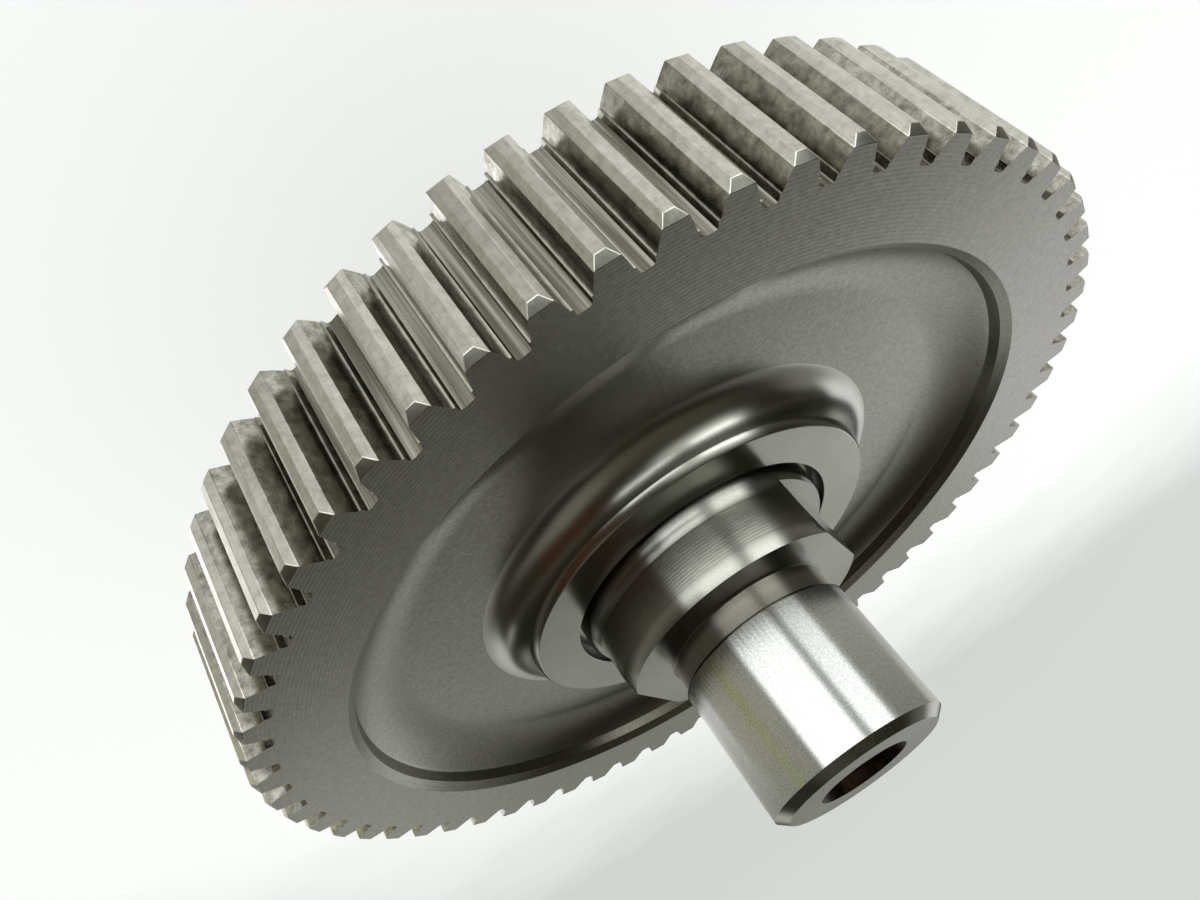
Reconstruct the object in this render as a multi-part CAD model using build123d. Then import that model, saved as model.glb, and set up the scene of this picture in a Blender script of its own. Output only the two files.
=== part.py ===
import os
from math import acos, cos, pi, radians, sin, sqrt, tan

from build123d import *

# Starter reduction gear: a forged and machined toothed wheel, pressed on a turned shaft.
# Sizes are in millimetres. The axis is Z, and +Z points out of the front, where the two flats are.
# The origin is the centre of the rear end face, on which the gear stands.
# X is square to the two flats on the collar.

# Teeth of the large wheel
wheel_module = 1.25
wheel_tooth_count = 60
wheel_addendum = 0.8
wheel_thinning = 0.08
wheel_ledge_height = 0.57
wheel_ledge_width = 0.12
wheel_root_chamfer = 0.25
wheel_tip_chamfer_height = 0.4
wheel_tip_land = 0.7
wheel_tooth_turn = -0.36

# Teeth of the small pinion
pinion_module = 2.0
pinion_tooth_count = 13
pinion_addendum = 2.0
pinion_thinning = 0.16
pinion_ledge_height = 1.75
pinion_ledge_width = 0.12
pinion_root_chamfer = 0.6
pinion_tip_chamfer_height = 0.4
pinion_tip_land = 0.95

# Both sets of teeth have the same flank angle, and the same dedendum in modules
pressure_angle = 20.0
dedendum = 1.25

# Rim of the large wheel: solid ring under the teeth, chamfers at its inner edge and at the tooth ends
face_width = 11.8
rim_wall = 5.19
end_chamfer_height = 0.38
end_chamfer_length = 0.6
rim_chamfer_width = 0.67
rim_chamfer_depth = 0.55
rim_step_width = 0.25
rim_step_depth = 0.89

# Dished web, the same on both sides, with its large fillets
web_depth = 3.15
web_fillet = 8.0

# Hub boss
hub_radius = 16.0
hub_rise = 0.21
hub_chamfer_width = 0.4
hub_chamfer_depth = 0.64
hub_fillet = 2.7

# Pressed seat of the shaft in the hub, and the clearance ring that stays open in front of it
seat_radius = 11.9
seat_chamfer = 0.3
ring_gap = 0.7
ring_depth = 2.0

# Disc at the hub face, its land, and the collar with the two flats
disc_rise = 0.17
disc_chamfer_width = 0.31
disc_chamfer_length = 0.55
land_length = 0.65
land_step = 0.24
collar_length = 3.02
collar_taper_width = 0.35
collar_taper_length = 1.35
flat_distance = 9.5

# Journals at both ends
journal_radius = 7.25
front_journal_length = 11.4
rear_journal_length = 11.4
journal_chamfer_width = 0.82
journal_chamfer_length = 0.65
neck_cut = 0.42
neck_length = 2.35

# Centre hole in each end face
centre_mouth_radius = 3.67
centre_pilot_radius = 1.75
centre_pilot_length = 4.0
centre_cone_angle = 60.0
drill_point_angle = 118.0

# Rear part of the shaft: pinion, relief groove and the shoulder that meets the hub
pinion_width = 14.0
pinion_end_chamfer = 0.5
groove_length = 2.0
groove_clearance = 0.3
shoulder_length = 1.8
shoulder_step = 1.5

# Radii that follow from the teeth
wheel_pitch_radius = wheel_module * wheel_tooth_count / 2
wheel_tip_radius = wheel_pitch_radius + wheel_addendum
wheel_root_radius = wheel_pitch_radius - dedendum * wheel_module
pinion_pitch_radius = pinion_module * pinion_tooth_count / 2
pinion_tip_radius = pinion_pitch_radius + pinion_addendum
pinion_root_radius = pinion_pitch_radius - dedendum * pinion_module

# Heights above the rear end face
pinion_z = rear_journal_length + neck_length
groove_z = pinion_z + pinion_width
shoulder_z = groove_z + groove_length
hub_back_z = shoulder_z + shoulder_length
middle_z = hub_back_z + hub_rise + face_width / 2
rim_front_z = middle_z + face_width / 2
hub_front_z = rim_front_z + hub_rise

# Radii and heights of the front end of the shaft
disc_radius = seat_radius - ring_gap
land_radius = disc_radius - disc_chamfer_width
collar_radius = land_radius - land_step
collar_end_radius = collar_radius - collar_taper_width
neck_radius = journal_radius - neck_cut
journal_end_radius = journal_radius - journal_chamfer_width
seat_end_z = hub_front_z - ring_depth
disc_z = hub_front_z + disc_rise
ledge_z = disc_z + disc_chamfer_length
collar_z = ledge_z + land_length
taper_z = collar_z + collar_length
collar_face_z = taper_z + collar_taper_length
front_journal_z = collar_face_z + neck_length
front_end_z = front_journal_z + front_journal_length

# Room by which a cutter passes the surface that it cuts
overrun = 1.0


def involute(pressure):
    """Involute function of a pressure angle, in radians."""
    return tan(pressure) - pressure


def gap_point(module, tooth_count, thinning, radius):
    """Point on the flank of a gap that is centred on X, on the circle of this radius."""
    pitch_radius = module * tooth_count / 2
    pressure = radians(pressure_angle)
    base_radius = pitch_radius * cos(pressure)
    half_gap = (pi * module / 2 + thinning) / 2 / pitch_radius
    opening = involute(acos(min(1.0, base_radius / radius))) - involute(pressure)
    angle = half_gap + opening
    return Vector(radius * cos(angle), radius * sin(angle))


def gap_side(
    module,
    tooth_count,
    thinning,
    tip_radius,
    ledge_height,
    ledge_width,
    root_chamfer,
    tip_chamfer_height,
    tip_land,
):
    """Edges of one side of a gap: floor, root chamfer, ledge left by grinding, flank, tip chamfer."""
    root_x = module * tooth_count / 2 - dedendum * module
    flank_start_radius = root_x + ledge_height
    flank_end_radius = tip_radius - tip_chamfer_height
    flank_start = gap_point(module, tooth_count, thinning, flank_start_radius)
    flank_middle = gap_point(module, tooth_count, thinning, (flank_start_radius + flank_end_radius) / 2)
    flank_end = gap_point(module, tooth_count, thinning, flank_end_radius)
    wall_y = flank_start.Y - ledge_width
    floor_end = (root_x, wall_y - root_chamfer)
    wall_start = (root_x + root_chamfer, wall_y)
    wall_end = (flank_start.X, wall_y)
    tip_angle = pi / tooth_count - tip_land / 2 / tip_radius
    tip = Vector(tip_radius * cos(tip_angle), tip_radius * sin(tip_angle))
    outside = tip + (tip - flank_end).normalized() * overrun
    return [
        Line((root_x, 0), floor_end),
        Line(floor_end, wall_start),
        Line(wall_start, wall_end),
        Line(wall_end, flank_start),
        ThreePointArc(flank_start, flank_middle, flank_end),
        Line(flank_end, outside),
        Line(outside, (outside.X, 0)),
    ]


def gap_cutter(side, low_z, high_z):
    """Solid that cuts one gap between two teeth, from the edges of one of its sides."""
    half = make_face(Wire(side + [Line(side[-1] @ 1, side[0] @ 0)]))
    whole = half + mirror(half, about=Plane.XZ)
    return Pos(0, 0, low_z) * extrude(whole, amount=high_z - low_z, dir=(0, 0, 1))


def turned(points):
    """Solid of revolution from the corners (radius, height) of half its section."""
    corners = [(radius, 0, height) for radius, height in points]
    return revolve(make_face(Polyline(*corners, close=True)), Axis.Z)


def make_half_blank():
    """Front half of the wheel before its teeth are cut, from the middle plane to the front."""
    web_z = rim_front_z - web_depth
    rim_inner = wheel_root_radius - rim_wall
    step_top = (rim_inner - rim_chamfer_width, rim_front_z - rim_chamfer_depth)
    step_foot = (step_top[0] - rim_step_width, step_top[1] - rim_step_depth)
    fillet_height = step_foot[1] - web_z
    fillet_reach = sqrt(fillet_height * (2 * web_fillet - fillet_height))
    web_outer = (step_foot[0] - fillet_reach, web_z)
    half_reach = fillet_reach / 2
    web_fillet_drop = web_fillet - sqrt(web_fillet ** 2 - half_reach ** 2)
    web_fillet_middle = (web_outer[0] + half_reach, web_z + web_fillet_drop)
    hub_foot = (hub_radius, web_z + hub_fillet)
    hub_side_top = (hub_radius, hub_front_z - hub_chamfer_depth)
    hub_fillet_middle = (
        hub_radius + hub_fillet * (1 - 1 / sqrt(2)),
        web_z + hub_fillet * (1 - 1 / sqrt(2)),
    )
    web_inner = (hub_radius + hub_fillet, web_z)
    outline = [
        Polyline(
            hub_foot,
            hub_side_top,
            (hub_radius - hub_chamfer_width, hub_front_z),
            (seat_radius, hub_front_z),
            (seat_radius, middle_z),
            (wheel_tip_radius, middle_z),
            (wheel_tip_radius, rim_front_z - end_chamfer_length),
            (wheel_tip_radius - end_chamfer_height, rim_front_z),
            (rim_inner, rim_front_z),
            step_top,
            step_foot,
        ),
        ThreePointArc(step_foot, web_fillet_middle, web_outer),
        Line(web_outer, web_inner),
        ThreePointArc(web_inner, hub_fillet_middle, hub_foot),
    ]
    return revolve(Plane.XZ * make_face(outline), Axis.Z)


def make_wheel():
    """Toothed wheel: rim, dished web and hub in one piece, with the gaps between its teeth cut."""
    half = make_half_blank()
    blank = half + mirror(half, about=Plane.XY.offset(middle_z))
    side = gap_side(
        wheel_module,
        wheel_tooth_count,
        wheel_thinning,
        wheel_tip_radius,
        wheel_ledge_height,
        wheel_ledge_width,
        wheel_root_chamfer,
        wheel_tip_chamfer_height,
        wheel_tip_land,
    )
    half_width = face_width / 2 + overrun
    cutter = gap_cutter(side, middle_z - half_width, middle_z + half_width)
    first_gap = wheel_tooth_turn + 180 / wheel_tooth_count
    return blank - PolarLocations(0, wheel_tooth_count, first_gap) * cutter


def centre_hole(end_z, outward):
    """Drilled centre hole in an end face: outward is 1 at the front end and -1 at the rear end."""
    cone_depth = (centre_mouth_radius - centre_pilot_radius) / tan(radians(centre_cone_angle / 2))
    pilot_depth = cone_depth + centre_pilot_length
    point_depth = pilot_depth + centre_pilot_radius / tan(radians(drill_point_angle / 2))
    section = [
        (0, overrun),
        (centre_mouth_radius, overrun),
        (centre_mouth_radius, 0),
        (centre_pilot_radius, -cone_depth),
        (centre_pilot_radius, -pilot_depth),
        (0, -point_depth),
    ]
    return turned([(radius, end_z + outward * height) for radius, height in section])


def make_shaft():
    """Turned shaft with its collar, flats and two journals, and the pinion cut on its rear part."""
    shoulder_radius = seat_radius + shoulder_step
    groove_radius = pinion_root_radius - groove_clearance
    pinion_chamfer_radius = pinion_tip_radius - pinion_end_chamfer
    body = turned([
        (0, 0),
        (journal_end_radius, 0),
        (journal_radius, journal_chamfer_length),
        (journal_radius, rear_journal_length),
        (neck_radius, rear_journal_length),
        (neck_radius, pinion_z),
        (pinion_chamfer_radius, pinion_z),
        (pinion_tip_radius, pinion_z + pinion_end_chamfer),
        (pinion_tip_radius, groove_z - pinion_end_chamfer),
        (pinion_chamfer_radius, groove_z),
        (groove_radius, groove_z),
        (groove_radius, shoulder_z),
        (shoulder_radius, shoulder_z),
        (shoulder_radius, hub_back_z),
        (seat_radius, hub_back_z),
        (seat_radius, seat_end_z - seat_chamfer),
        (seat_radius - seat_chamfer, seat_end_z),
        (disc_radius, seat_end_z),
        (disc_radius, disc_z),
        (land_radius, ledge_z),
        (land_radius, collar_z),
        (collar_radius, collar_z),
        (collar_radius, taper_z),
        (collar_end_radius, collar_face_z),
        (neck_radius, collar_face_z),
        (neck_radius, front_journal_z),
        (journal_radius, front_journal_z),
        (journal_radius, front_end_z - journal_chamfer_length),
        (journal_end_radius, front_end_z),
        (0, front_end_z),
    ])
    side = gap_side(
        pinion_module,
        pinion_tooth_count,
        pinion_thinning,
        pinion_tip_radius,
        pinion_ledge_height,
        pinion_ledge_width,
        pinion_root_chamfer,
        pinion_tip_chamfer_height,
        pinion_tip_land,
    )
    cutter = gap_cutter(side, pinion_z - overrun, groove_z + groove_length / 2)
    body -= PolarLocations(0, pinion_tooth_count) * cutter
    flat_block = Box(
        disc_radius,
        2 * disc_radius,
        collar_face_z - ledge_z + overrun,
        align=(Align.MIN, Align.CENTER, Align.MIN),
    )
    for turn in (0, 180):
        body -= Rot(0, 0, turn) * Pos(flat_distance, 0, ledge_z) * flat_block
    body -= centre_hole(0, -1)
    body -= centre_hole(front_end_z, 1)
    return body


nodes = {"toothed_wheel": make_wheel(), "shaft": make_shaft()}

os.makedirs("parts", exist_ok=True)
for name, solid in nodes.items():
    export_step(solid, os.path.join("parts", name + ".step"))
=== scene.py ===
import math

import bmesh
import bpy
from mathutils import Euler, Matrix, Vector


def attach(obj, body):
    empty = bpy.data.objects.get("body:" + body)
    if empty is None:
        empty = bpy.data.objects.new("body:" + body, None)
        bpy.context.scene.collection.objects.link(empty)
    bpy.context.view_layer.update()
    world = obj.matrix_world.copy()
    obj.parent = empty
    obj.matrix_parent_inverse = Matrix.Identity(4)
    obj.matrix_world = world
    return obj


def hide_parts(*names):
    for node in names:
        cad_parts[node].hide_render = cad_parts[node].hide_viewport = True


# Starter reduction gear: looks of the toothed wheel and of the shaft pressed into it.
# Sizes are in millimetres and heights are above the rear end face, as in the CAD frame.

MM = 0.001

# Wheel teeth
tooth_count = 60
tooth_module = 1.25
tip_radius = 38.3
tooth_thinning = 0.08
ledge_height = 0.57
ledge_width = 0.12
root_chamfer = 0.25
tip_chamfer_height = 0.4
tip_land = 0.7
end_chamfer_length = 0.6
tooth_turn = -0.36

# Pinion teeth
pinion_count = 13
pinion_module = 2.0
pinion_tip_radius = 15.0
pinion_thinning = 0.16
pinion_ledge_height = 1.75
pinion_ledge_width = 0.12
pinion_root_chamfer = 0.6
pinion_tip_chamfer = 0.4
pinion_tip_land = 0.95
pinion_end_chamfer = 0.5

pressure_angle = math.radians(20)
dedendum = 1.25

# Rim, web and hub
face_width = 11.8
rim_wall = 5.19
rim_chamfer = (0.67, 0.55)
rim_step = (0.25, 0.89)
web_depth = 3.15
web_fillet = 8.0
hub_radius = 16.0
hub_rise = 0.21
hub_chamfer = (0.4, 0.64)
hub_fillet = 2.7
seat_radius = 11.9

# Shaft
ring_gap = 0.7
ring_depth = 2.0
seat_chamfer = 0.3
disc_rise = 0.17
disc_chamfer = (0.31, 0.55)
land_length = 0.65
land_step = 0.24
land_slope = 0.1
collar_length = 3.02
collar_taper = (0.35, 1.35)
flat_distance = 9.5
journal_radius = 7.25
journal_length = 11.4
journal_chamfer = (0.82, 0.65)
neck_cut = 0.42
neck_length = 2.35
collar_fillet = 0.2
undercut_depth = 0.3
undercut_length = 0.35
centre_mouth = 3.67
centre_pilot = 1.75
centre_pilot_length = 4.0
pinion_width = 14.0
groove_length = 2.0
groove_clearance = 0.3
shoulder_length = 1.8
shoulder_step = 1.5

# Heights
pinion_z = journal_length + neck_length
groove_z = pinion_z + pinion_width
shoulder_z = groove_z + groove_length
hub_back_z = shoulder_z + shoulder_length
middle_z = hub_back_z + hub_rise + face_width / 2
rim_front_z = middle_z + face_width / 2
rim_back_z = middle_z - face_width / 2
hub_front_z = rim_front_z + hub_rise
disc_z = hub_front_z + disc_rise
ledge_z = disc_z + disc_chamfer[1]
collar_z = ledge_z + land_length
taper_z = collar_z + collar_length
collar_face_z = taper_z + collar_taper[1]
front_journal_z = collar_face_z + neck_length
front_end_z = front_journal_z + journal_length

# Radii
root_radius = tooth_module * (tooth_count / 2 - dedendum)
rim_inner = root_radius - rim_wall
disc_radius = seat_radius - ring_gap
land_radius = disc_radius - disc_chamfer[0]
collar_radius = land_radius - land_step
collar_end_radius = collar_radius - collar_taper[0]
neck_radius = journal_radius - neck_cut
journal_end_radius = journal_radius - journal_chamfer[0]
pinion_root_radius = pinion_module * (pinion_count / 2 - dedendum)
groove_radius = pinion_root_radius - groove_clearance
shoulder_radius = seat_radius + shoulder_step

# Facets round the axis for each tooth, and the round on sharp edges
WHEEL_STEPS = 4
PINION_STEPS = 18
EDGE_BREAK = 0.05

# The middle of a quarter round lies this share of its radius from the corner's two sides.
ROUND_MIDDLE = 0.3

# Two heights or radii closer than NEAR are the same. SNAP puts points on a cut or a seam, and MERGE
# joins points that lie on each other. TOUCH is the margin where a face's middle is held against a
# border between two finishes.
NEAR = 0.0001
SNAP = 0.0005
MERGE = 0.002
TOUCH = 0.01

# Least turns that make a tip edge or a section's corner worth a round, and an edge sharp in shading
TIP_TURN = math.radians(15)
CORNER_TURN = math.radians(20)
SHARP_TURN = math.radians(32)


# Shapes


def involute(angle):
    """Angle by which an involute runs ahead where its slope is this angle."""
    return math.tan(angle) - angle


def flank_point(module, count, thinning, radius):
    """Point on the flank of a gap centred on X, on the circle of this radius."""
    pitch_radius = module * count / 2
    base_radius = pitch_radius * math.cos(pressure_angle)
    half_width = (math.pi * module / 2 + thinning) / 2 / pitch_radius
    slope = math.acos(min(1.0, base_radius / radius))
    angle = half_width + involute(slope) - involute(pressure_angle)
    return Vector((radius * math.cos(angle), radius * math.sin(angle), 0))


def half_gap(module, count, thinning, tip, ledge_high, ledge_wide, chamfer, tip_chamfer, flank_steps=8):
    """Corners of one side of a gap centred on X, from its floor up the flank."""
    root = module * (count / 2 - dedendum)
    start = root + ledge_high
    end = tip - tip_chamfer
    flank = [
        flank_point(module, count, thinning, start + (end - start) * step / flank_steps)
        for step in range(flank_steps + 1)
    ]
    wall = flank[0].y - ledge_wide
    return [
        Vector((root, 0, 0)),
        Vector((root, wall - chamfer, 0)),
        Vector((root + chamfer * ROUND_MIDDLE, wall - chamfer * ROUND_MIDDLE, 0)),
        Vector((root + chamfer, wall, 0)),
        Vector((flank[0].x, wall, 0)),
    ] + flank


def arc_wire(bm, radius, height, half_angle, steps):
    """Arc about the axis from -half_angle to half_angle, as a row of edges."""
    start = bm.verts.new((radius * math.cos(half_angle), -radius * math.sin(half_angle), height))
    bmesh.ops.spin(
        bm, geom=[start], cent=(0, 0, 0), axis=(0, 0, 1), angle=2 * half_angle, steps=steps, use_merge=False
    )


def tooth_sector(points, count, tip, land, end_chamfer, back, front, arc_steps):
    """One tooth centred on X with half a gap at each side. back and front are (height, inner radius).

    The end chamfers run from the flank's outer end to the tip, at both ends of the tooth.
    """
    bm = bmesh.new()
    turn = Matrix.Rotation(-math.pi / count, 3, "Z")
    row = [bm.verts.new(turn @ point + Vector((0, 0, back[0]))) for point in points]
    for first, second in zip(row, row[1:]):
        bm.edges.new((first, second))
    bmesh.ops.mirror(bm, geom=bm.verts[:] + bm.edges[:], axis="Y", merge_dist=0)
    walls = bmesh.ops.extrude_edge_only(bm, edges=bm.edges[:])
    raised = [item for item in walls["geom"] if isinstance(item, bmesh.types.BMVert)]
    bmesh.ops.translate(bm, verts=raised, vec=(0, 0, front[0] - back[0]))
    flank_end = points[-1].length
    top = [vert for vert in bm.verts if abs(vert.co.xy.length - flank_end) < NEAR]
    crown = bmesh.ops.contextual_create(bm, geom=top)["faces"]
    roof = bmesh.ops.extrude_face_region(bm, geom=crown)
    bmesh.ops.delete(bm, geom=crown, context="FACES_ONLY")
    half_land = land / 2 / tip
    for vert in [item for item in roof["geom"] if isinstance(item, bmesh.types.BMVert)]:
        side = 1 if vert.co.y > 0 else -1
        inward = end_chamfer if vert.co.z < (back[0] + front[0]) / 2 else -end_chamfer
        vert.co = Vector((tip * math.cos(half_land), side * tip * math.sin(half_land), vert.co.z + inward))
    for height, inner in (back, front):
        arc_wire(bm, inner, height, math.pi / count, arc_steps)
        outline = [edge for edge in bm.edges if all(abs(vert.co.z - height) < NEAR for vert in edge.verts)]
        corners = {vert for edge in outline for vert in edge.verts}
        ends = [vert for vert in corners if sum(edge in outline for edge in vert.link_edges) == 1]
        for side in (1, -1):
            pair = [vert for vert in ends if vert.co.y * side > 0]
            outline.append(bm.edges.new(pair))
        bmesh.ops.contextual_create(bm, geom=outline)
    bmesh.ops.recalc_face_normals(bm, faces=bm.faces[:])
    tip_edges = [
        edge for edge in bm.edges
        if all(vert.co.xy.length > flank_end - NEAR for vert in edge.verts)
        and len(edge.link_faces) == 2
        and edge.calc_face_angle() > TIP_TURN
    ]
    bmesh.ops.bevel(
        bm,
        geom=tip_edges,
        offset=EDGE_BREAK,
        segments=3,
        profile=0.5,
        affect="EDGES",
        clamp_overlap=True,
        material=-1,
    )
    return bm


def ring_of(sector, count, turn):
    """The sector repeated round the axis."""
    bmesh.ops.rotate(sector, verts=sector.verts[:], cent=(0, 0, 0), matrix=Matrix.Rotation(turn, 3, "Z"))
    bmesh.ops.spin(
        sector,
        geom=sector.verts[:] + sector.edges[:] + sector.faces[:],
        cent=(0, 0, 0),
        axis=(0, 0, 1),
        angle=2 * math.pi * (count - 1) / count,
        steps=count - 1,
        use_duplicate=True,
    )
    return sector


def draw_profile(bm, path):
    """Half section in the XZ plane.

    A step is a corner, as (radius, height), or an arc, as (centre radius, centre height, degrees, facets).
    """
    last = None
    for step in path:
        if len(step) == 2:
            vert = bm.verts.new((step[0], 0, step[1]))
            if last:
                bm.edges.new((last, vert))
            last = vert
        else:
            centre_radius, centre_height, degrees, facets = step
            swept = bmesh.ops.spin(
                bm,
                geom=[last],
                cent=(centre_radius, 0, centre_height),
                axis=(0, 1, 0),
                angle=math.radians(degrees),
                steps=facets,
                use_merge=False,
            )
            last = [item for item in swept["geom_last"] if isinstance(item, bmesh.types.BMVert)][0]


def break_corners(bm):
    """Small round on each corner of the section where it turns enough and its sides are long enough."""
    corners = []
    for vert in bm.verts:
        if len(vert.link_edges) == 2:
            legs = [edge.other_vert(vert).co - vert.co for edge in vert.link_edges]
            turn = math.pi - legs[0].angle(legs[1])
            if turn > CORNER_TURN and min(leg.length for leg in legs) > 2 * EDGE_BREAK:
                corners.append(vert)
    bmesh.ops.bevel(
        bm, geom=corners, offset=EDGE_BREAK, segments=3, profile=0.5, affect="VERTICES", material=-1
    )


def revolve(bm, turn, steps):
    """Full turn of a section about the axis. It starts turn radians round from X."""
    bmesh.ops.rotate(bm, verts=bm.verts[:], cent=(0, 0, 0), matrix=Matrix.Rotation(turn, 3, "Z"))
    bmesh.ops.spin(
        bm,
        geom=bm.verts[:] + bm.edges[:],
        cent=(0, 0, 0),
        axis=(0, 0, 1),
        angle=2 * math.pi,
        steps=steps,
        use_merge=True,
    )


def join_into(target, source):
    """Moves the shape in source into target."""
    mesh = bpy.data.meshes.new("scratch")
    source.to_mesh(mesh)
    target.from_mesh(mesh)
    bpy.data.meshes.remove(mesh)
    source.free()


def finish_piece(bm, name, materials, choose, node):
    """Scales to metres, gives each face its finish, and links the object."""
    bmesh.ops.remove_doubles(bm, verts=bm.verts[:], dist=MERGE)
    bmesh.ops.recalc_face_normals(bm, faces=bm.faces[:])
    bm.normal_update()
    names = list(materials)
    for face in bm.faces:
        face.smooth = True
        face.material_index = names.index(choose(face.calc_center_median(), face.normal))
    for edge in bm.edges:
        if len(edge.link_faces) == 2 and edge.calc_face_angle() > SHARP_TURN:
            edge.smooth = False
    bmesh.ops.scale(bm, verts=bm.verts[:], vec=(MM, MM, MM))
    mesh = bpy.data.meshes.new(name)
    bm.to_mesh(mesh)
    bm.free()
    for key in names:
        mesh.materials.append(materials[key])
    obj = bpy.data.objects.new(name, mesh)
    bpy.context.scene.collection.objects.link(obj)
    weighted = obj.modifiers.new("even_normals", "WEIGHTED_NORMAL")
    weighted.keep_sharp = True
    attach(obj, "root")
    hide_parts(node)
    return obj


# Finishes


def colour(code):
    """Linear colour of an sRGB hex code."""
    parts = [int(code[i:i + 2], 16) / 255 for i in (0, 2, 4)]
    return tuple(p / 12.92 if p <= 0.04045 else ((p + 0.055) / 1.055) ** 2.4 for p in parts) + (1.0,)


def add(tree, kind, inputs=None, **settings):
    """Adds a node. An input is a number, a colour or the output socket that feeds it."""
    node = tree.nodes.new(kind)
    for key, value in settings.items():
        setattr(node, key, value)
    for key, value in (inputs or {}).items():
        if isinstance(value, bpy.types.NodeSocket):
            tree.links.new(value, node.inputs[key])
        else:
            node.inputs[key].default_value = value
    return node


def ramp(tree, fac, *stops):
    """Colour ramp from (place, hex code) stops."""
    node = add(tree, "ShaderNodeValToRGB", {"Fac": fac})
    elements = node.color_ramp.elements
    while len(elements) < len(stops):
        elements.new(0.5)
    for element, (place, code) in zip(elements, stops):
        element.position = place
        element.color = colour(code)
    return node.outputs["Color"]


def steel(name, roughness):
    """Bare steel: metallic, default IOR. Returns the material, its tree and its shader."""
    material = bpy.data.materials.new(name)
    material.use_nodes = True
    tree = material.node_tree
    shader = tree.nodes["Principled BSDF"]
    shader.inputs["Metallic"].default_value = 1.0
    shader.inputs["Roughness"].default_value = roughness
    place = add(tree, "ShaderNodeTexCoord").outputs["Object"]
    return material, tree, shader, place


def axis_distance(tree, place):
    """Distance of a point from the gear's axis, in metres."""
    flat = add(tree, "ShaderNodeVectorMath", {0: place, 1: (1, 1, 0)}, operation="MULTIPLY")
    return add(tree, "ShaderNodeVectorMath", {0: flat.outputs[0]}, operation="LENGTH").outputs["Value"]


def waves(tree, value, spacing):
    """Height wave along a value in metres, one crest per spacing in millimetres."""
    phase = add(tree, "ShaderNodeMath", {0: value, 1: 2 * math.pi / (spacing * MM)}, operation="MULTIPLY")
    return add(tree, "ShaderNodeMath", {0: phase.outputs[0]}, operation="SINE").outputs[0]


def noise(tree, place, size, detail=3.0, rough=0.55, stretch=(1, 1, 1)):
    """Noise whose lumps are about size millimetres wide before the stretch."""
    mapped = add(tree, "ShaderNodeMapping", {"Vector": place, "Scale": stretch})
    node = add(
        tree,
        "ShaderNodeTexNoise",
        {"Vector": mapped.outputs[0], "Scale": 1 / (size * MM), "Detail": detail, "Roughness": rough},
    )
    return node.outputs["Fac"]


def bump(tree, shader, height, depth):
    """Bump of this depth in millimetres."""
    node = add(tree, "ShaderNodeBump", {"Height": height, "Distance": depth * MM})
    tree.links.new(node.outputs[0], shader.inputs["Normal"])


def round_marks(tree, shader, place, strength):
    """Tool marks run round the axis, so reflections are drawn out across them."""
    around = add(tree, "ShaderNodeVectorMath", {0: (0, 0, 1), 1: place}, operation="CROSS_PRODUCT").outputs[0]
    tree.links.new(around, shader.inputs["Tangent"])
    shader.inputs["Anisotropic"].default_value = strength
    shader.inputs["Anisotropic Rotation"].default_value = 0.25


def turned_rim_steel(name, roughness, dark, light):
    """Face-turned gear steel: dark satin, finely sanded, with faint concentric tool lines."""
    material, tree, shader, place = steel(name, roughness)
    lines = waves(tree, axis_distance(tree, place), 0.3)
    grain = noise(tree, place, 0.12, 2.0, 0.6)
    mixed = add(tree, "ShaderNodeMath", {0: lines, 1: 0.26, 2: grain}, operation="MULTIPLY_ADD").outputs[0]
    bump(tree, shader, mixed, 0.004)
    specks = noise(tree, place, 0.35, 3.0, 0.7)
    tree.links.new(ramp(tree, specks, (0.3, dark), (0.7, light)), shader.inputs["Base Color"])
    round_marks(tree, shader, place, 0.3)
    return material


def blasted_web_steel():
    """Shot-blasted forging: even satin grain without direction."""
    material, tree, shader, place = steel("shot_blasted_forged_steel", 0.27)
    bump(tree, shader, noise(tree, place, 0.22), 0.006)
    specks = noise(tree, place, 0.3, 3.0, 0.7)
    tree.links.new(ramp(tree, specks, (0.3, "a5a49e"), (0.7, "c2c1bb")), shader.inputs["Base Color"])
    return material


def turned_hub_steel(name, roughness, dark, light):
    """Smooth turned steel of the hub: it draws the windows as bright bands."""
    material, tree, shader, place = steel(name, roughness)
    bump(tree, shader, noise(tree, place, 0.15, 2.0), 0.0012)
    clouds = noise(tree, place, 6.0)
    tree.links.new(ramp(tree, clouds, (0.3, dark), (0.7, light)), shader.inputs["Base Color"])
    round_marks(tree, shader, place, 0.6)
    return material


def ground_flank_steel():
    """Generating-ground flanks with dark random mottling, darker toward the root."""
    material, tree, shader, place = steel("ground_flank_steel_darker_rootward", 0.2)
    dark_end_radius = 35.6
    light_end_radius = 37.4
    blots = noise(tree, place, 0.8, 5.0, 0.7)
    # The tone is darker toward the root: it falls from the light end radius to the dark end radius.
    depth = add(
        tree,
        "ShaderNodeMapRange",
        {
            "Value": axis_distance(tree, place),
            "From Min": dark_end_radius * MM,
            "From Max": light_end_radius * MM,
            "To Min": -0.17,
            "To Max": 0.05,
        },
    )
    mottling_and_rootward_darkening = add(tree, "ShaderNodeMath", {0: blots, 1: depth.outputs["Result"]}, operation="ADD").outputs[0]
    tone = ramp(tree, mottling_and_rootward_darkening, (0.3, "63625a"), (0.48, "a09e96"), (0.67, "cac8c1"))
    tree.links.new(tone, shader.inputs["Base Color"])
    bump(tree, shader, noise(tree, place, 0.5), 0.003)
    return material


def hobbed_root_steel():
    """Root floors left by hobbing: dark and light streaks along the tooth."""
    material, tree, shader, place = steel("hobbed_root_steel", 0.25)
    streaks = noise(tree, place, 0.3, 1.5, 0.5, (1, 1, 0.02))
    tone = ramp(tree, streaks, (0.36, "7c7a72"), (0.5, "a8a69e"), (0.64, "cbc9c2"))
    tree.links.new(tone, shader.inputs["Base Color"])
    bump(tree, shader, streaks, 0.006)
    return material


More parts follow.
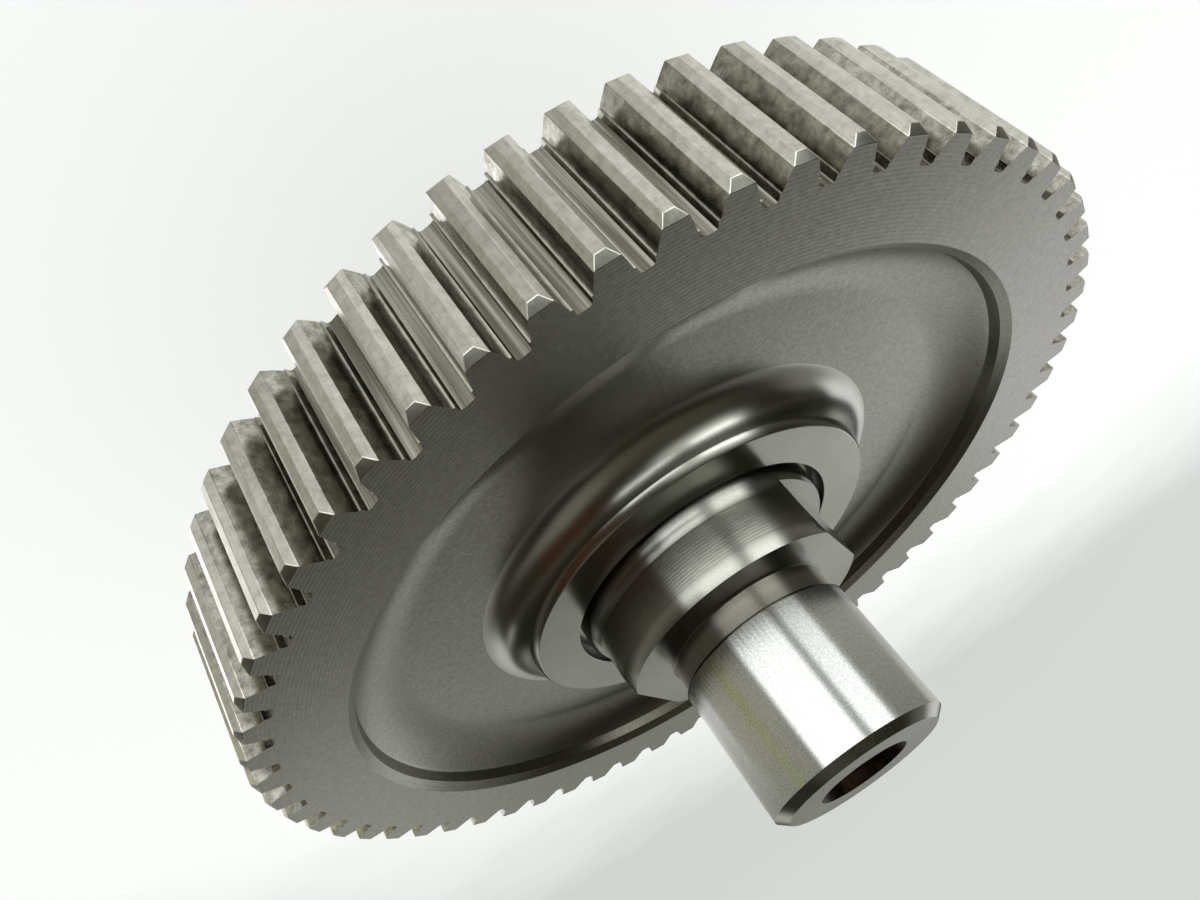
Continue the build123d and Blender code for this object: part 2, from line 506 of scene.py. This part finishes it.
def cut_land_steel():
    """Tooth tips: light, smudged, with fine streaks along the tooth."""
    material, tree, shader, place = steel("hobbed_tip_land_steel", 0.3)
    streaks = noise(tree, place, 0.15, 3.0, 0.6, (1, 1, 0.08))
    smudges = noise(tree, place, 0.8, 5.0, 0.75)
    mixed = add(tree, "ShaderNodeMath", {0: streaks, 1: 0.4, 2: smudges}, operation="MULTIPLY_ADD").outputs[0]
    tone = ramp(tree, mixed, (0.5, "b4b2aa"), (0.68, "cccac3"), (0.9, "dddcd6"))
    tree.links.new(tone, shader.inputs["Base Color"])
    bump(tree, shader, mixed, 0.004)
    return material


def dark_turned_steel():
    """Collar turned to a fine feed and left dark: rings of tool marks round the shaft."""
    material, tree, shader, place = steel("dark_fine_turned_steel", 0.26)
    height = add(tree, "ShaderNodeSeparateXYZ", {0: place}).outputs["Z"]
    grain = noise(tree, place, 0.2, 3.0, 0.6, (0.15, 0.15, 1))
    lines = waves(tree, height, 0.25)
    mixed = add(tree, "ShaderNodeMath", {0: lines, 1: 0.5, 2: grain}, operation="MULTIPLY_ADD").outputs[0]
    bump(tree, shader, mixed, 0.002)
    tree.links.new(ramp(tree, grain, (0.3, "b2b1aa"), (0.7, "c2c1ba")), shader.inputs["Base Color"])
    round_marks(tree, shader, place, 0.8)
    return material


def smooth_turned_steel(name, roughness, dark, light):
    """Smooth turned steel of the shaft: it mirrors what is near it, softly."""
    material, tree, shader, place = steel(name, roughness)
    grain = noise(tree, place, 0.12, 3.0, 0.6)
    bump(tree, shader, grain, 0.0006)
    tree.links.new(ramp(tree, grain, (0.3, dark), (0.7, light)), shader.inputs["Base Color"])
    round_marks(tree, shader, place, 0.7)
    return material


def ground_journal_steel():
    """Journal ground and lapped to a bearing finish: nearly a mirror, with faint marks round it."""
    material, tree, shader, place = steel("ground_journal_steel", 0.14)
    grain = noise(tree, place, 0.12, 4.0, 0.75)
    bump(tree, shader, grain, 0.0003)
    tone = ramp(tree, grain, (0.36, "9fa09f"), (0.5, "b2b3b2"), (0.64, "c2c3c2"))
    tree.links.new(tone, shader.inputs["Base Color"])
    round_marks(tree, shader, place, 0.6)
    return material


def drilled_steel(name, dark, light):
    """Drilled centre hole with a film of brown rust: dull and warm."""
    material, tree, shader, place = steel(name, 0.4)
    patches = noise(tree, place, 0.9, 4.0, 0.7)
    tree.links.new(ramp(tree, patches, (0.35, dark), (0.65, light)), shader.inputs["Base Color"])
    bump(tree, shader, noise(tree, place, 0.25), 0.01)
    return material


# Pieces


def faces_outward(centre, normal):
    """True for tooth tips, root floors and ledges. Flanks turn 39 degrees or more away from outward."""
    return normal.xy.dot(centre.xy.normalized()) > 0.78


def lies_flat(normal):
    """True for a face that is square to the axis."""
    return abs(normal.z) > 0.9


def make_wheel(finishes):
    points = half_gap(
        tooth_module,
        tooth_count,
        tooth_thinning,
        tip_radius,
        ledge_height,
        ledge_width,
        root_chamfer,
        tip_chamfer_height,
    )
    turn = math.radians(tooth_turn)
    back = (rim_back_z, rim_inner)
    front = (rim_front_z, rim_inner)
    sector = tooth_sector(
        points,
        tooth_count,
        tip_radius,
        tip_land,
        end_chamfer_length,
        back,
        front,
        WHEEL_STEPS,
    )
    teeth = ring_of(sector, tooth_count, turn)

    web_z = rim_front_z - web_depth
    step_top = (rim_inner - rim_chamfer[0], rim_front_z - rim_chamfer[1])
    step_foot = (step_top[0] - rim_step[0], step_top[1] - rim_step[1])
    climb = step_foot[1] - web_z
    reach = math.sqrt(climb * (2 * web_fillet - climb))
    sweep = math.degrees(math.asin(reach / web_fillet))
    body = bmesh.new()
    draw_profile(body, [
        (rim_inner, rim_front_z),
        step_top,
        step_foot,
        (step_foot[0] - reach, web_z + web_fillet, sweep, 14),
        (hub_radius + hub_fillet, web_z),
        (hub_radius + hub_fillet, web_z + hub_fillet, 90, 16),
        (hub_radius, hub_front_z - hub_chamfer[1]),
        (hub_radius - hub_chamfer[0], hub_front_z),
        (seat_radius, hub_front_z),
        (seat_radius, middle_z),
    ])
    bmesh.ops.remove_doubles(body, verts=body.verts[:], dist=MERGE)
    break_corners(body)
    low = bmesh.ops.duplicate(body, geom=body.verts[:] + body.edges[:])
    copies = [item for item in low["geom"] if isinstance(item, bmesh.types.BMVert)]
    for vert in copies:
        vert.co.z = 2 * middle_z - vert.co.z
    bmesh.ops.remove_doubles(body, verts=body.verts[:], dist=MERGE)
    revolve(body, turn + math.pi / tooth_count, tooth_count * WHEEL_STEPS)
    join_into(body, teeth)

    end_chamfer_lean = tip_chamfer_height / math.hypot(tip_chamfer_height, end_chamfer_length)

    def choose(centre, normal):
        radius = centre.xy.length
        height = abs(centre.z - middle_z)
        if radius > tip_radius - tip_chamfer_height - TOUCH and height < face_width / 2 - TOUCH:
            return "end" if abs(abs(normal.z) - end_chamfer_lean) < 0.05 else "land"
        if radius > rim_inner + EDGE_BREAK:
            if lies_flat(normal):
                return "rim"
            if not faces_outward(centre, normal):
                return "flank"
            return "root" if radius < root_radius + root_chamfer else "land"
        if radius > step_top[0] + TOUCH:
            return "rim"
        if radius > step_foot[0] - EDGE_BREAK:
            return "step"
        if radius < hub_radius - EDGE_BREAK and lies_flat(normal):
            return "face"
        return "hub" if radius < hub_radius + hub_fillet else "web"

    return finish_piece(body, "wheel_body", finishes, choose, "toothed_wheel")


def on_collar(item):
    """True for a face or edge between the foot of the land and the collar's front face."""
    return all(ledge_z - MERGE < vert.co.z < collar_face_z + MERGE for vert in item.verts)


def at_ledge(vert):
    return abs(vert.co.z - ledge_z) < MERGE


def cut_flats(bm):
    """Cuts the two flats on the collar and closes them with flat faces."""
    for side in (1, -1):
        upper = [face for face in bm.faces if on_collar(face)]
        geom = set(upper)
        for face in upper:
            geom.update(face.verts)
            geom.update(face.edges)
        bmesh.ops.bisect_plane(
            bm,
            geom=list(geom),
            plane_co=(side * flat_distance, 0, 0),
            plane_no=(side, 0, 0),
            clear_outer=False,
            dist=SNAP,
        )
        outer = [
            face for face in bm.faces
            if face.calc_center_median().x * side > flat_distance + NEAR and on_collar(face)
        ]
        bmesh.ops.delete(bm, geom=outer, context="FACES")
        open_edges = [edge for edge in bm.edges if len(edge.link_faces) == 1 and on_collar(edge)]
        chord_ends = [
            vert for vert in {vert for edge in open_edges for vert in edge.verts}
            if at_ledge(vert) and abs(vert.co.x - side * flat_distance) < MERGE
        ]
        chord = bm.edges.new(chord_ends)
        floor = [edge for edge in open_edges if all(at_ledge(vert) for vert in edge.verts)]
        wall = [edge for edge in open_edges if edge not in floor]
        bmesh.ops.contextual_create(bm, geom=floor + [chord])
        bmesh.ops.contextual_create(bm, geom=wall + [chord])


def make_shaft(finishes):
    points = half_gap(
        pinion_module,
        pinion_count,
        pinion_thinning,
        pinion_tip_radius,
        pinion_ledge_height,
        pinion_ledge_width,
        pinion_root_chamfer,
        pinion_tip_chamfer,
    )
    sector = tooth_sector(
        points,
        pinion_count,
        pinion_tip_radius,
        pinion_tip_land,
        pinion_end_chamfer,
        (pinion_z, neck_radius),
        (groove_z, groove_radius),
        PINION_STEPS,
    )
    teeth = ring_of(sector, pinion_count, math.pi / pinion_count)

    # A 60 degree centre cone, a pilot hole and the 118 degree point that the drill leaves
    cone = (centre_mouth - centre_pilot) / math.tan(math.radians(60 / 2))
    pilot = cone + centre_pilot_length
    point = pilot + centre_pilot / math.tan(math.radians(118 / 2))
    seat_end_z = hub_front_z - ring_depth
    rear = bmesh.new()
    draw_profile(rear, [
        (0, point),
        (centre_pilot, pilot),
        (centre_pilot, cone),
        (centre_mouth, 0),
        (journal_end_radius, 0),
        (journal_radius, journal_chamfer[1]),
        (journal_radius, journal_length),
        (neck_radius, journal_length),
        (neck_radius, pinion_z),
    ])
    break_corners(rear)
    front = bmesh.new()
    draw_profile(front, [
        (groove_radius, groove_z),
        (groove_radius, shoulder_z),
        (shoulder_radius, shoulder_z),
        (shoulder_radius, hub_back_z),
        (seat_radius, hub_back_z),
        (seat_radius, seat_end_z - seat_chamfer),
        (seat_radius - seat_chamfer, seat_end_z),
        (disc_radius, seat_end_z),
        (disc_radius, disc_z),
        (land_radius, ledge_z),
        (land_radius - land_slope, collar_z),
        (collar_radius, collar_z),
        (collar_radius, taper_z),
        (collar_end_radius, collar_face_z),
        (neck_radius + collar_fillet, collar_face_z),
        (neck_radius + collar_fillet, collar_face_z + collar_fillet, 90, 4),
        (neck_radius, front_journal_z - undercut_length),
        (neck_radius - undercut_depth, front_journal_z - undercut_length),
        (neck_radius - undercut_depth, front_journal_z),
        (journal_radius, front_journal_z),
        (journal_radius, front_end_z - journal_chamfer[1]),
        (journal_end_radius, front_end_z),
        (centre_mouth, front_end_z),
        (centre_pilot, front_end_z - cone),
        (centre_pilot, front_end_z - pilot),
        (0, front_end_z - point),
    ])
    for section in (rear, front):
        revolve(section, 0, pinion_count * PINION_STEPS)
    join_into(front, rear)
    bmesh.ops.remove_doubles(front, verts=front.verts[:], dist=SNAP)
    cut_flats(front)
    join_into(front, teeth)

    def choose(centre, normal):
        radius = centre.xy.length
        end = min(abs(centre.z), abs(centre.z - front_end_z))
        if radius < centre_mouth and end > TOUCH:
            return "mouth" if radius > centre_pilot + 2 * EDGE_BREAK else "bore"
        if pinion_z + TOUCH < centre.z < groove_z - TOUCH:
            crown = radius > pinion_tip_radius - pinion_tip_chamfer - TOUCH
            return "land" if crown or faces_outward(centre, normal) else "flank"
        beyond_necks = centre.z > front_journal_z or centre.z < journal_length
        if beyond_necks and radius > neck_radius + 2 * EDGE_BREAK:
            return "journal"
        if radius < neck_radius + collar_fillet and collar_face_z < centre.z < front_journal_z:
            return "neck"
        on_marks = collar_z < centre.z < taper_z and radius > flat_distance - 2 * EDGE_BREAK
        return "collar" if on_marks else "smooth"

    return finish_piece(front, "shaft_body", finishes, choose, "shaft")


# Stage, light and camera


def make_floor():
    """Pale table whose far edge curves up, so no horizon shows. It glows with painted light that falls off
    from a bright spot.
    """
    flat_reach = 500
    curve_radius = 700
    bright_spot = Vector((-150, -50, 0))
    bm = bmesh.new()
    draw_profile(bm, [(0, 0), (flat_reach, 0), (flat_reach, curve_radius, -65, 24)])
    revolve(bm, 0, 96)
    bmesh.ops.recalc_face_normals(bm, faces=bm.faces[:])
    for face in bm.faces:
        face.smooth = True
        if face.normal.z < 0:
            face.normal_flip()
    bmesh.ops.scale(bm, verts=bm.verts[:], vec=(MM, MM, MM))
    mesh = bpy.data.meshes.new("table")
    bm.to_mesh(mesh)
    bm.free()
    material = bpy.data.materials.new("table_top_with_painted_light")
    material.use_nodes = True
    tree = material.node_tree
    shader = tree.nodes["Principled BSDF"]
    shader.inputs["Roughness"].default_value = 0.55
    place = add(tree, "ShaderNodeTexCoord").outputs["Object"]
    # Painted light and shade: the glow is brightest at the bright spot and darker farther from it, with faint
    # clouds of random unevenness.
    offset = add(tree, "ShaderNodeVectorMath", {0: place, 1: bright_spot * MM}, operation="SUBTRACT")
    away = add(tree, "ShaderNodeVectorMath", {0: offset.outputs[0]}, operation="LENGTH").outputs["Value"]
    clouds = noise(tree, place, 60.0)
    clouds_and_painted_falloff = add(tree, "ShaderNodeMath", {0: clouds, 1: 0.08, 2: away}, operation="MULTIPLY_ADD")
    tone = ramp(tree, clouds_and_painted_falloff.outputs[0], (0.32, "fcfefc"), (0.455, "b4bab6"), (0.8, "bcc2be"))
    shader.inputs["Base Color"].default_value = colour("a8aaa8")
    # The table glows though it is no lamp: painted light, which also lightens the shadow under the gear.
    shader.inputs["Emission Strength"].default_value = 0.65
    tree.links.new(tone, shader.inputs["Emission Color"])
    mesh.materials.append(material)
    table = bpy.data.objects.new("table", mesh)
    table.visible_glossy = False
    bpy.context.scene.collection.objects.link(table)


def patch(tree, direction, azimuth, elevation, wide, high, soft):
    """1 inside a soft-edged window of the room seen in a direction, 0 outside. Angles are in degrees."""
    turn = Matrix.Rotation(math.radians(azimuth), 3, "Z") @ Matrix.Rotation(math.radians(-elevation), 3, "Y")
    parts = []
    for axis in ((1, 0, 0), (0, 1, 0), (0, 0, 1)):
        across = turn @ Vector(axis)
        along = add(tree, "ShaderNodeVectorMath", {0: direction, 1: across}, operation="DOT_PRODUCT")
        parts.append(along.outputs["Value"])
    masks = []
    for part, half in ((parts[1], wide), (parts[2], high)):
        angle = add(tree, "ShaderNodeMath", {0: part, 1: parts[0]}, operation="ARCTAN2").outputs[0]
        size = add(tree, "ShaderNodeMath", {0: angle}, operation="ABSOLUTE").outputs[0]
        edge = add(
            tree,
            "ShaderNodeMapRange",
            {
                "Value": size,
                "From Min": math.radians(half - soft),
                "From Max": math.radians(half + soft),
                "To Min": 1.0,
                "To Max": 0.0,
            },
            interpolation_type="SMOOTHSTEP",
        )
        masks.append(edge.outputs["Result"])
    return add(tree, "ShaderNodeMath", {0: masks[0], 1: masks[1]}, operation="MULTIPLY").outputs[0]


def make_world():
    """Even pale light on the stage. Bright metal shows the room: windows, walls and a dark ceiling.

    The room is a ramp from below to above, with soft-edged patches laid over it in this order. Each has
    its azimuth, elevation, half width, half height and edge softness in degrees, a colour and a strength.
    """
    world = bpy.data.worlds.new("room")
    bpy.context.scene.world = world
    world.use_nodes = True
    world.cycles.sampling_method = "NONE"
    tree = world.node_tree
    direction = add(tree, "ShaderNodeTexCoord").outputs["Generated"]
    height = add(tree, "ShaderNodeSeparateXYZ", {0: direction}).outputs["Z"]
    level = add(tree, "ShaderNodeMapRange", {"Value": height, "From Min": -1.0, "From Max": 1.0})
    room = ramp(
        tree,
        level.outputs["Result"],
        (0.0, "eeeee6"),
        (0.2, "f0f0ea"),
        (0.33, "dad9d0"),
        (0.43, "a6a69a"),
        (0.5, "5e5e56"),
        (0.57, "43423a"),
        (0.65, "2a2820"),
        (0.85, "34332a"),
        (1.0, "504e40"),
    )
    for azimuth, elevation, wide, high, soft, code, strength in (
        (-60, -66, 40, 18, 10, "a4a49a", 1.0),
        (-40, -36, 24, 9, 8, "9a9a8c", 1.0),
        (35, -36, 36, 18, 10, "ffffff", 1.8),
        (-25, -19, 34, 8, 6, "cac8b6", 1.0),
        (-33, -18, 8, 9, 7, "c0c494", 1.0),
        (-50, 24, 26, 20, 10, "3c2819", 1.0),
        (30, 2, 10, 9, 6, "ccccc4", 1.0),
        (112, -6, 16, 8, 6, "e0e2da", 1.0),
        (-15, 64, 28, 18, 12, "74736a", 1.0),
        (75, 66, 34, 14, 10, "24231a", 1.0),
        (98, 36, 42, 11, 9, "7a7a74", 1.0),
        (84, 18, 40, 10, 6, "b2b4ae", 1.0),
        (50, 18, 9, 8, 6, "d4d6d0", 1.0),
        (88, 20, 9, 10, 6, "ccceca", 1.0),
        (110, 16, 14, 10, 6, "ffffff", 1.0),
        (-142, 20, 26, 12, 9, "c4c6bc", 1.0),
        (-130, -6, 40, 17, 5, "e4e7e0", 1.0),
        (-150, 0, 15, 17, 4, "fcfffa", 2.4),
        (-84, -9, 15, 11, 4, "fcfffa", 2.6),
        (-105, -5, 19, 15, 4, "fcfffa", 2.6),
    ):
        mask = patch(tree, direction, azimuth, elevation, wide, high, soft)
        tint = tuple(strength * part for part in colour(code)[:3]) + (1.0,)
        blend = add(tree, "ShaderNodeMix", {"Factor": mask}, data_type="RGBA", clamp_result=False)
        tree.links.new(room, blend.inputs["A"])
        blend.inputs["B"].default_value = tint
        room = blend.outputs["Result"]
    mirrored = add(tree, "ShaderNodeLightPath").outputs["Is Glossy Ray"]
    shown = add(tree, "ShaderNodeMix", {"Factor": mirrored}, data_type="RGBA", clamp_result=False)
    shown.inputs["A"].default_value = colour("fafbfa")
    tree.links.new(room, shown.inputs["B"])
    tree.links.new(shown.outputs["Result"], tree.nodes["Background"].inputs["Color"])


def make_camera():
    """The photograph's viewing angle, found from the circles of the hub, web and teeth."""
    data = bpy.data.cameras.new("camera")
    data.sensor_width = 36
    data.lens = 28.44
    data.shift_x = 0.0456
    data.shift_y = 0.022
    data.clip_start = 0.005
    camera = bpy.data.objects.new("camera", data)
    camera.location = Vector((-12.99, -72.12, 73.79)) * MM
    camera.rotation_euler = Euler([math.radians(angle) for angle in (-52.10, -29.21, 144.04)])
    bpy.context.scene.collection.objects.link(camera)
    bpy.context.scene.camera = camera
    bpy.context.scene.view_settings.view_transform = "Standard"


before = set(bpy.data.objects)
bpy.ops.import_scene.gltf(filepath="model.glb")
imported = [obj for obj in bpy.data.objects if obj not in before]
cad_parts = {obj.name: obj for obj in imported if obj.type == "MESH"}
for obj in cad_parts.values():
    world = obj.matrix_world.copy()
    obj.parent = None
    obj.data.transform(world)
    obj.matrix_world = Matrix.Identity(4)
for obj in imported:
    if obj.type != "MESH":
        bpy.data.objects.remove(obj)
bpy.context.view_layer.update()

wheel_finishes = {
    "rim": turned_rim_steel("face_turned_gear_steel", 0.27, "a5a39e", "b7b6b0"),
    "end": turned_rim_steel("chamfered_tooth_end_steel", 0.42, "8c8b85", "a1a09a"),
    # The step wall below the rim's chamfer gets a darker copy of the rim steel.
    "step": turned_rim_steel("darker_rim_step_steel", 0.28, "76746c", "8a8880"),
    "web": blasted_web_steel(),
    "hub": turned_hub_steel("turned_hub_fillet_steel", 0.23, "ccccc7", "d6d5d0"),
    "face": turned_hub_steel("faced_hub_steel", 0.17, "acaca6", "b8b8b2"),
    "flank": ground_flank_steel(),
    "root": hobbed_root_steel(),
    "land": cut_land_steel(),
}
shaft_finishes = {
    "collar": dark_turned_steel(),
    "smooth": smooth_turned_steel("smooth_turned_shaft_steel", 0.23, "a8a7a2", "b4b3ae"),
    "neck": smooth_turned_steel("dull_turned_neck_steel", 0.3, "827f78", "939089"),
    "journal": ground_journal_steel(),
    "flank": wheel_finishes["flank"],
    "land": wheel_finishes["land"],
    "mouth": drilled_steel("rusty_centre_cone_steel", "1c1611", "5c4b3d"),
    "bore": drilled_steel("rusty_pilot_hole_steel", "140f0b", "352a22"),
}
make_wheel(wheel_finishes)
make_shaft(shaft_finishes)
make_floor()
make_world()
make_camera()
